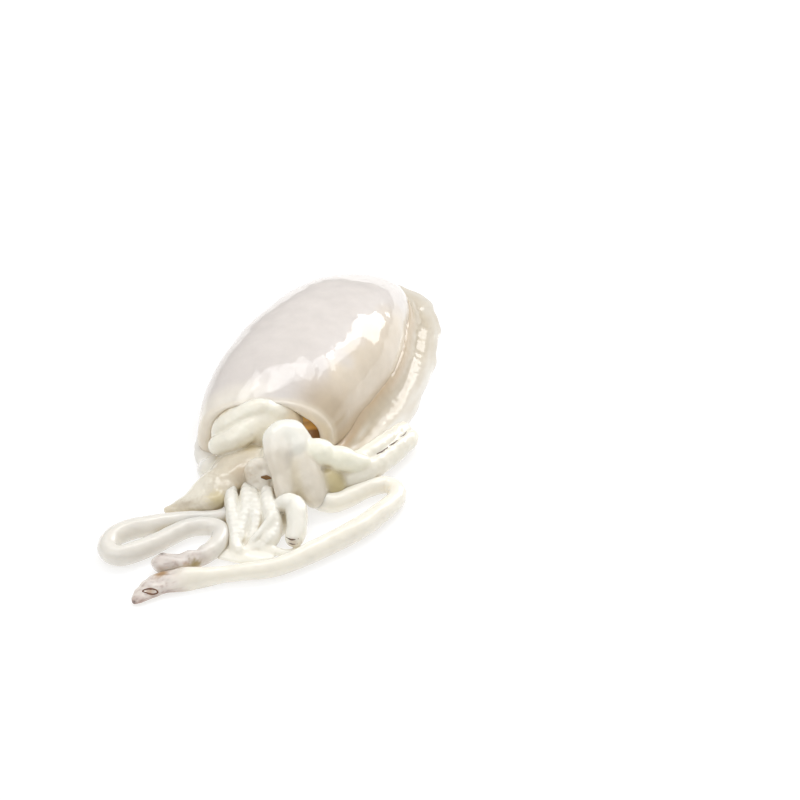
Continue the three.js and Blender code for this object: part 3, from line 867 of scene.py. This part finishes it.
def limb_beads(route, flat=1.0):
    """A limb as ellipsoids close together, each with its centre, axes and half lengths."""
    curve, run = limb_curve(route, BEAD_STEP)
    side, lift = limb_frame(curve[:, :3])
    axes = np.stack([side, lift, np.cross(lift, side)], axis=1)
    halves = curve[:, 3:] * np.array([1.0, flat, 1.0])
    within = (run >= curve[0, 3]) & (run <= run[-1] - curve[-1, 3])
    return list(zip(curve[within, :3], axes[within], halves[within]))


def ball_beads(centre, radii):
    return [(np.array(centre, float), np.eye(3), np.array(radii, float))]


def ring_beads(ring):
    """A lobed ring as balls close together."""
    side, lift = across_frame(ring["facing"])
    beads = []
    for turn in full_turn(RING_BEADS):
        place = np.array(ring["centre"]) + ring["radius"] * (math.cos(turn) * side + math.sin(turn) * lift)
        thickness = ring["thickness"] * (1.0 + ring["lobe"] * math.sin(ring["lobes"] * turn))
        beads.append((place, np.eye(3), np.full(3, thickness)))
    return beads


def outside_bead(places, centre, axes, halves):
    """About how far places are outside an ellipsoid, less than zero inside it."""
    local = (places - centre) @ axes.T / halves
    length = np.linalg.norm(local, axis=-1) + TINY
    return length * (length - 1.0) / (np.linalg.norm(local / halves, axis=-1) + TINY)


class Clay:
    """Soft parts on a grid of points, which holds how far each point is outside their flesh."""

    def __init__(self, low, high):
        self.low = np.array(low, float)
        self.counts = np.ceil((np.array(high, float) - self.low) / CLAY_STEP).astype(int)
        self.outside = np.full(self.counts, FAR)
        self.parts = {}

    def window(self, low, high):
        """Slices of the grid over a box, and the places of its points."""
        first = np.clip(np.floor((low - self.low) / CLAY_STEP).astype(int), 0, self.counts)
        last = np.clip(np.ceil((high - self.low) / CLAY_STEP).astype(int), 0, self.counts)
        axes = [self.low[k] + CLAY_STEP * np.arange(first[k], last[k]) for k in range(3)]
        places = np.stack(np.meshgrid(*axes, indexing="ij"), axis=-1)
        return tuple(slice(a, b) for a, b in zip(first, last)), places

    def add(self, name, beads, soft):
        """Joins a part on, with a fillet of about soft millimetres."""
        own = np.full(self.counts, FAR)
        for centre, axes, halves in beads:
            reach = halves.max() + CLAY_REACH
            spans, places = self.window(centre - reach, centre + reach)
            own[spans] = np.minimum(own[spans], outside_bead(places, centre, axes, halves))
        share = np.clip(0.5 + 0.5 * (own - self.outside) / soft, 0.0, 1.0)
        self.outside = blend(own, self.outside, share) - soft * share * (1.0 - share)
        self.parts[name] = own.astype(np.float32)

    def cut_at_table(self):
        height = self.low[2] + CLAY_STEP * np.arange(self.counts[2])
        self.outside = np.maximum(self.outside, -height)

    def fill_pinches(self):
        """Fills spots where the flesh would touch itself only corner to corner."""
        for _ in range(PINCH_PASSES):
            for axis in range(3):
                flesh = np.moveaxis(self.outside, axis, 0)
                inside = flesh < 0.0
                a, b = inside[:, :-1, :-1], inside[:, 1:, :-1]
                c, d = inside[:, :-1, 1:], inside[:, 1:, 1:]
                flesh[:, 1:, :-1][a & d & ~b & ~c] = -PINCH_FILL
                flesh[:, :-1, :-1][b & c & ~a & ~d] = -PINCH_FILL

    def shares(self, points):
        """How much of each part's tint shows at points of the skin, one row for each part."""
        spots = np.clip(np.rint((points - self.low) / CLAY_STEP).astype(int), 0, self.counts - 1)
        away = np.array([own[tuple(spots.T)] for own in self.parts.values()], float)
        near = np.exp(-(away - away.min(axis=0)) / TINT_BLEND)
        return near / near.sum(axis=0)

    def skin(self):
        """Points and faces of the skin: one point in each cell that it crosses."""
        corners = np.array([(i, j, k) for i in (0, 1) for j in (0, 1) for k in (0, 1)])
        inside = self.outside < 0.0
        held = np.zeros(self.counts - 1, int)
        for i, j, k in corners:
            held += inside[i:self.counts[0] - 1 + i, j:self.counts[1] - 1 + j, k:self.counts[2] - 1 + k]
        cells = np.argwhere((held > 0) & (held < len(corners)))
        values = np.array([self.outside[tuple((cells + corner).T)] for corner in corners])
        total = np.zeros((len(cells), 3))
        crossings = np.zeros((len(cells), 1))
        for a in range(len(corners)):
            for b in range(a + 1, len(corners)):
                if np.abs(corners[a] - corners[b]).sum() == 1:
                    crosses = (values[a] < 0.0) != (values[b] < 0.0)
                    fall = np.where(crosses, values[a] - values[b], 1.0)
                    run = (crosses * values[a] / fall)[:, None]
                    total += crosses[:, None] * (corners[a] + run * (corners[b] - corners[a]))
                    crossings += crosses[:, None]
        number = np.full(self.counts, -1)
        number[tuple(cells.T)] = np.arange(len(cells))
        faces = []
        for axis in range(3):
            ahead = np.roll(inside, -1, axis=axis)
            starts = np.argwhere(inside != ahead)
            starts = starts[starts[:, axis] < self.counts[axis] - 1]
            b = np.eye(3, dtype=int)[(axis + 1) % 3]
            c = np.eye(3, dtype=int)[(axis + 2) % 3]
            faces.append(np.stack([number[tuple((starts - s).T)] for s in (b + c, c, 0 * b, b)], axis=1))
        return self.low + (cells + total / crossings) * CLAY_STEP, np.vstack(faces).tolist()


def neck_rings():
    """The neck, which fills the pocket of the mantle."""
    around = full_turn(NECK_GRID["sides"])
    inset = wall_thickness(around) + NECK_GAP
    rings = []
    for share in np.linspace(0.0, 1.0, NECK_GRID["steps"]):
        station = MOUTH_Y - NECK_OUT + (NECK_OUT + NECK_IN) * share
        rounding = NECK_ROUNDING["share"] * (1.0 - share) ** NECK_ROUNDING["power"]
        ring = mantle_section(station, around, inset, rounding + NECK_NARROWING * share)
        fall = smoothstep(NECK_HOLLOW["start"], NECK_HOLLOW["end"], ring[:, 0])
        ring[:, 1] += NECK_HOLLOW["depth"] * fall * (1.0 - share)
        rings.append(ring)
    return np.array(rings)


def make_neck(material):
    points, faces = skin_rings(neck_rings())
    mesh = closed_mesh("neck", points, faces)
    pale = smoothstep(*MEMBRANE["pale"], points[:, 0] + MEMBRANE["ragged"] * swell(points, 4.0, 16))
    dark = smoothstep(*MEMBRANE["dark"], points[:, 0] + MEMBRANE["ragged"] * swell(points, 3.0, 11))
    colour = toward(linear(TINT["neck"]), "membrane", pale)
    set_tint(mesh, toward(colour, "membrane_dark", dark))
    return new_piece(mesh, material)


def mesh_edges(mesh):
    edges = np.empty(len(mesh.edges) * 2, int)
    mesh.edges.foreach_get("vertices", edges)
    return edges.reshape(-1, 2)


def clay_piece(name, parts, usual, material):
    """One piece of soft parts, each a name with its beads and softness, with uneven flesh and tints."""
    every_bead = [bead for beads, _ in parts.values() for bead in beads]
    centres = np.array([centre for centre, _, _ in every_bead])
    reach = np.array([halves.max() for _, _, halves in every_bead])[:, None] + CLAY_MARGIN
    low = (centres - reach).min(axis=0)
    low[2] = -2.0 * CLAY_STEP
    clay = Clay(low, (centres + reach).max(axis=0))
    for part, (beads, soft) in parts.items():
        clay.add(part, beads, soft)
    clay.cut_at_table()
    clay.fill_pinches()
    mesh = closed_mesh(name, *clay.skin())
    move_points(mesh, smoothed(mesh_points(mesh), mesh_edges(mesh), CLAY_SMOOTHING))
    points = mesh_points(mesh)
    raise_skin(mesh, points, unevenness(points, "clay") - ring_wrinkles(points) + sucker_bumps(points))
    tints = np.array([linear(TINT[PART_TINT.get(part, usual)]) for part in parts])
    set_tint(mesh, blotted(points, clay.shares(points).T @ tints, name))
    return new_piece(mesh, material)


def ring_wrinkles(points):
    """How deep the wrinkles of the ring of lip are at each point."""
    axis = unit(LIP_RING["facing"])
    side, lift = across_frame(axis)
    away = points - np.array(LIP_RING["centre"])
    turn = np.arctan2(away @ lift, away @ side)
    from_axis = np.hypot(away @ lift, away @ side)
    from_ring = np.hypot(from_axis - LIP_RING["radius"], away @ axis)
    near = smoothstep(*LIP_WRINKLES["fade"], from_ring - LIP_RING["thickness"])
    phase = LIP_WRINKLES["count"] * turn + LIP_WRINKLES["crooked"] * swell(points, 6.0, 14)
    strength = LIP_WRINKLES["depth"] * (1.0 + swell(points, 5.0, 15))
    return near * strength * (0.5 + 0.5 * np.cos(phase))


def sucker_bumps(points):
    """How far the suckers stand out at each point."""
    limbs = {**FRONT_ARMS, **HEAD_LIMBS}
    height = np.zeros(len(points))
    for name in SUCKER_ARMS:
        curve, _ = limb_curve(limbs[name]["route"], SUCKERS["step"])
        side, lift = limb_frame(curve[:, :3])
        for turn in (SUCKERS["turn"], 180.0 - SUCKERS["turn"]):
            around = math.radians(turn)
            out = math.cos(around) * side + math.sin(around) * lift
            for place in curve[:, :3] + out * curve[:, 3:]:
                away = np.linalg.norm(points - place, axis=1) / SUCKERS["radius"]
                height = np.maximum(height, SUCKERS["height"] * np.exp(-away ** 2))
    return height


def clay_parts(limbs, masses):
    """Beads and softness of named masses and limbs."""
    parts = {}
    for name, (centre, radii, soft) in masses.items():
        parts[name] = (ball_beads(centre, radii), soft)
    for name, limb in limbs.items():
        parts[name] = (limb_beads(limb["route"], limb.get("flat", 1.0)), limb["soft"])
    return parts


def make_head(material):
    parts = clay_parts(HEAD_LIMBS, HEAD_MASSES)
    parts["lip_ring"] = (ring_beads(LIP_RING), LIP_RING["soft"])
    plug = np.array(LIP_RING["centre"]) - unit(LIP_RING["facing"]) * LIP_PLUG["back"]
    parts["lip_plug"] = (ball_beads(plug, (LIP_PLUG["radius"],) * 3), LIP_PLUG["soft"])
    return clay_piece("head", parts, "flesh", material)


def make_front_arms(material):
    return clay_piece("front_arms", clay_parts(FRONT_ARMS, ARM_MASSES), "front_arm", material)


def make_fin_flap(material):
    points, faces = skin_rings(limb_rings(**FIN_FLAP))
    mesh = closed_mesh("fin_flap", points, faces)
    move_points(mesh, points + mesh_normals(mesh) * unevenness(points, "fin_flap")[:, None])
    set_tint(mesh, linear(TINT["flap"]))
    return new_piece(mesh, material)


def make_tentacle(name, flatter, material):
    route = TENTACLES[name]
    _, run = limb_curve(route, LIMB_STEP)
    into_club = smoothstep(CLUB["start"], CLUB["full"], run[-1] - run)
    points, faces = skin_rings(limb_rings(route, 1.0 - flatter * into_club))
    club = np.concatenate([np.repeat(into_club, LIMB_SIDES), [0.0, 1.0]])
    mesh = closed_mesh(name, points, faces)
    lumps = CLUB["lumps"] * club * swell(points, 6.0, 17)
    raise_skin(mesh, points, unevenness(points, "tentacle") + lumps)
    # Painted shade on the low side of the club that faces the front
    front = smoothstep(*CLUB_TINTS["facing"], mesh_normals(mesh)[:, 1])
    low_front = front * smoothstep(*CLUB_TINTS["height"], points[:, 2])
    specks = smoothstep(*CLUB_TINTS["specks"], swell(points, 1.9, 18))
    patchy = blend(swell(points, 4.0, 12), 1.0, CLUB_TINTS["even"])
    colour = toward(linear(TINT[PART_TINT[name]]), "club", club * patchy)
    colour = toward(colour, "club_speckle_and_shade", CLUB_TINTS["speckle"] * club * specks)
    colour = toward(colour, "club_speckle_and_shade", CLUB_TINTS["edge"] * club * low_front)
    set_tint(mesh, blotted(points, colour, name))
    return new_piece(mesh, material)


# Small things on the flesh


def surface_of(piece):
    """A tree that finds the nearest point of a piece's surface, in millimetres."""
    faces = [tuple(face.vertices) for face in piece.data.polygons]
    return BVHTree.FromPolygons(mesh_points(piece.data).tolist(), faces)


def on_surface(tree, place):
    """The nearest point of a surface."""
    return np.array(tree.find_nearest(Vector(place))[0])


def dome(place, facing, radius, height):
    """A low rounded button that faces along facing."""
    down = np.linspace(DOME_GRID["pole"], math.pi - DOME_GRID["pole"], DOME_GRID["rings"])[:, None, None]
    around = full_turn(DOME_GRID["sides"])[None, :, None]
    side, lift = across_frame(facing)
    level = np.cos(around) * side + np.sin(around) * lift
    return skin_rings(place + radius * np.sin(down) * level + height * np.cos(down) * unit(facing))


def small_piece(name, solids, tint, material):
    mesh = closed_mesh(name, *joined(solids))
    set_tint(mesh, linear(TINT[tint]))
    return new_piece(mesh, material)


def make_dark_lines(carriers, material):
    trees = [surface_of(carrier) for carrier in carriers]
    solids = []
    for route in DARK_LINES.values():
        laid = []
        for x, y, z, radius in route:
            found = [on_surface(tree, (x, y, z)) for tree in trees]
            near = min(found, key=lambda place: np.linalg.norm(place - (x, y, z)))
            laid.append((*near, radius))
        solids.append(skin_rings(limb_rings(laid, **LINE_GRID)))
    return small_piece("dark_lines", solids, "dark_line_brown", material)


def make_beak(head, material):
    """A short dark slit in the ring of lip, where no arm lies over it."""
    tree = surface_of(head)
    centre = np.array(LIP_RING["centre"])
    axis = unit(LIP_RING["facing"])
    side, lift = across_frame(axis)
    solids = []
    for share in np.linspace(-0.5, 0.5, BEAK["domes"]):
        outside = centre + axis * FAR + side * (BEAK["side"] + share * BEAK["length"]) + lift * BEAK["lift"]
        place = np.array(tree.ray_cast(Vector(outside), Vector(-axis))[0])
        if (place - centre) @ axis < BEAK["out"]:
            solids.append(dome(place, axis, BEAK["radius"] * (1.0 - abs(share)), BEAK["height"]))
    return small_piece("beak", solids, "beak", material)


def make_club_sucker(tentacle, material):
    tree = surface_of(tentacle)
    turn = math.radians(CLUB_SUCKER["turn"])
    long = CLUB_SUCKER["long"] * np.array([math.cos(turn), math.sin(turn)])
    short = CLUB_SUCKER["short"] * np.array([-math.sin(turn), math.cos(turn)])
    places = []
    for around in full_turn(SUCKER_STEPS):
        spot = long * math.cos(around) + short * math.sin(around) + CLUB_SUCKER["centre"]
        top = tree.ray_cast(Vector((*spot, FAR)), Vector(-UP))[0]
        places.append((*top, CLUB_SUCKER["thickness"]))
    return small_piece("club_sucker", [ring_tube(places)], "sucker_ring", material)


# Materials


def set_inputs(node, **values):
    """Sets inputs by name, with underscores for spaces."""
    for name, value in values.items():
        node.inputs[name.replace("_", " ")].default_value = value


def add_node(tree, kind, **values):
    node = tree.nodes.new(kind)
    set_inputs(node, **values)
    return node


def noise_node(tree, coords, scale, detail=4.0, roughness=0.55):
    node = add_node(tree, "ShaderNodeTexNoise", Scale=scale, Detail=detail, Roughness=roughness)
    tree.links.new(coords.outputs["Object"], node.inputs["Vector"])
    return node


def ranged(tree, source, span, to_span):
    """A value carried over from one span to another."""
    node = add_node(
        tree, "ShaderNodeMapRange", From_Min=span[0], From_Max=span[1], To_Min=to_span[0], To_Max=to_span[1])
    tree.links.new(source, node.inputs["Value"])
    return node.outputs["Result"]


def flesh_material(kind):
    """Wet flesh that light goes into, which takes its tint from the points of the mesh, with painted shade
    in its creases.
    """
    scattering, bump, creases, coat = FLESH[kind]
    scatter, scatter_reach = scattering
    bump_scale, bump_depth = bump
    painted_crease_shade, crease_reach, crease_share = creases
    material = bpy.data.materials.new(f"{kind}_flesh")
    material.use_nodes = True
    tree = material.node_tree
    shader = tree.nodes["Principled BSDF"]
    coords = tree.nodes.new("ShaderNodeTexCoord")
    tint = tree.nodes.new("ShaderNodeAttribute")
    tint.attribute_name = "tint"
    mottle = noise_node(tree, coords, MOTTLE["scale"])
    vary = add_node(tree, "ShaderNodeHueSaturation")
    value = ranged(tree, mottle.outputs["Fac"], NOISE_SPAN, MOTTLE["value"])
    tree.links.new(value, vary.inputs["Value"])
    tree.links.new(tint.outputs["Color"], vary.inputs["Color"])
    # Painted shade: the colour turns toward the crease tint where nearby flesh hides the room, by ambient
    # occlusion
    hidden = add_node(tree, "ShaderNodeAmbientOcclusion", Distance=crease_reach * MM)
    hidden.samples = CREASE_SAMPLES
    creased = add_node(tree, "ShaderNodeMixRGB", Color2=(*linear(painted_crease_shade), 1.0))
    depth = ranged(tree, hidden.outputs["AO"], CREASE_SPAN, (crease_share, 0.0))
    tree.links.new(depth, creased.inputs["Fac"])
    tree.links.new(vary.outputs["Color"], creased.inputs["Color1"])
    tree.links.new(creased.outputs["Color"], shader.inputs["Base Color"])
    wrinkle = noise_node(tree, coords, bump_scale, detail=2.0)
    fine = add_node(tree, "ShaderNodeBump", Strength=1.0, Distance=bump_depth * MM)
    tree.links.new(wrinkle.outputs["Fac"], fine.inputs["Height"])
    tree.links.new(fine.outputs["Normal"], shader.inputs["Normal"])
    tree.links.new(fine.outputs["Normal"], shader.inputs["Coat Normal"])
    damp = noise_node(tree, coords, DAMPNESS["scale"])
    roughness = ranged(tree, damp.outputs["Fac"], NOISE_SPAN, DAMPNESS["roughness"])
    tree.links.new(roughness, shader.inputs["Roughness"])
    set_inputs(shader, **WET, Coat_Weight=coat)
    set_inputs(shader, Subsurface_Weight=scatter, Subsurface_Scale=scatter_reach * MM)
    return material


# Table, light and camera


def direction(azimuth, elevation):
    """Unit vector at degrees to the right of +Y and above the table."""
    turn = math.radians(azimuth)
    rise = math.radians(elevation)
    return np.array([math.sin(turn) * math.cos(rise), math.cos(turn) * math.cos(rise), math.sin(rise)])


def make_camera():
    camera = add_object("camera", bpy.data.cameras.new("camera"))
    away = direction(180.0 - CAMERA["azimuth"], CAMERA["elevation"])
    place = np.array(CAMERA["target"]) + away * CAMERA["distance"]
    camera.location = Vector(place * MM)
    camera.rotation_euler = Vector(-away).to_track_quat("-Z", "Y").to_euler()
    camera.data.lens = LENS
    camera.data.sensor_width = SENSOR
    bpy.context.scene.camera = camera


def make_table():
    half = TABLE_SIZE / 2.0
    corners = [(x * half, y * half, -TABLE_DROP) for x, y in ((-1, -1), (1, -1), (1, 1), (-1, 1))]
    mesh = new_mesh("table", corners, [(0, 1, 2, 3)])
    material = bpy.data.materials.new("white_table")
    material.use_nodes = True
    shader = material.node_tree.nodes["Principled BSDF"]
    white = (1.0, 1.0, 1.0, 1.0)
    set_inputs(shader, Base_Color=(TABLE_BASE, TABLE_BASE, TABLE_BASE, 1.0), Roughness=0.8)
    set_inputs(shader, Specular_IOR_Level=0.1, Emission_Color=white, Emission_Strength=TABLE_GLOW)
    mesh.materials.append(material)
    table = add_object("table", mesh)


def make_softbox(name, azimuth, elevation, distance, size, roll, brightness):
    """An area light that faces the middle of the animal. brightness is what its face gives off."""
    light = bpy.data.lights.new(name, "AREA")
    light.shape = "RECTANGLE"
    light.size = size[0] * MM
    light.size_y = size[1] * MM
    light.energy = brightness * math.pi * light.size * light.size_y
    lamp = add_object(name, light)
    away = direction(azimuth, elevation)
    lamp.location = Vector(away * distance * MM)
    facing = Vector(-away).to_track_quat("-Z", "Y")
    lamp.rotation_euler = (facing @ Quaternion(UP, math.radians(roll))).to_euler()


def make_light():
    world = bpy.data.worlds.new("white_room")
    world.use_nodes = True
    tree = world.node_tree
    background = tree.nodes["Background"]
    set_inputs(background, Color=ROOM_TINT)
    coords = tree.nodes.new("ShaderNodeTexCoord")
    parts = tree.nodes.new("ShaderNodeSeparateXYZ")
    tree.links.new(coords.outputs["Generated"], parts.inputs["Vector"])
    tree.links.new(ranged(tree, parts.outputs["Z"], (0.0, 1.0), ROOM), background.inputs["Strength"])
    bpy.context.scene.world = world
    for i, (azimuth, elevation, width, height, roll, brightness) in enumerate(WINDOWS):
        make_softbox(f"window_{i}", azimuth, elevation, WINDOW_DISTANCE, (width, height), roll, brightness)
    make_softbox("ceiling", **CEILING)
    bpy.context.scene.view_settings.view_transform = "Standard"
    bpy.context.scene.view_settings.look = "None"


make_camera()
make_table()
make_light()
flesh = {kind: flesh_material(kind) for kind in FLESH}
make_mantle(flesh["mantle"])
make_fin(flesh["fin"])
make_fin_flap(flesh["fin"])
make_neck(flesh["arm"])
head = make_head(flesh["arm"])
front_arms = make_front_arms(flesh["arm"])
tentacle_right = make_tentacle("tentacle_right", CLUB["flatter"], flesh["limb"])
make_tentacle("tentacle_left", 0.0, flesh["limb"])
make_dark_lines([head, front_arms], flesh["small"])
make_beak(head, flesh["small"])
make_club_sucker(tentacle_right, flesh["small"])
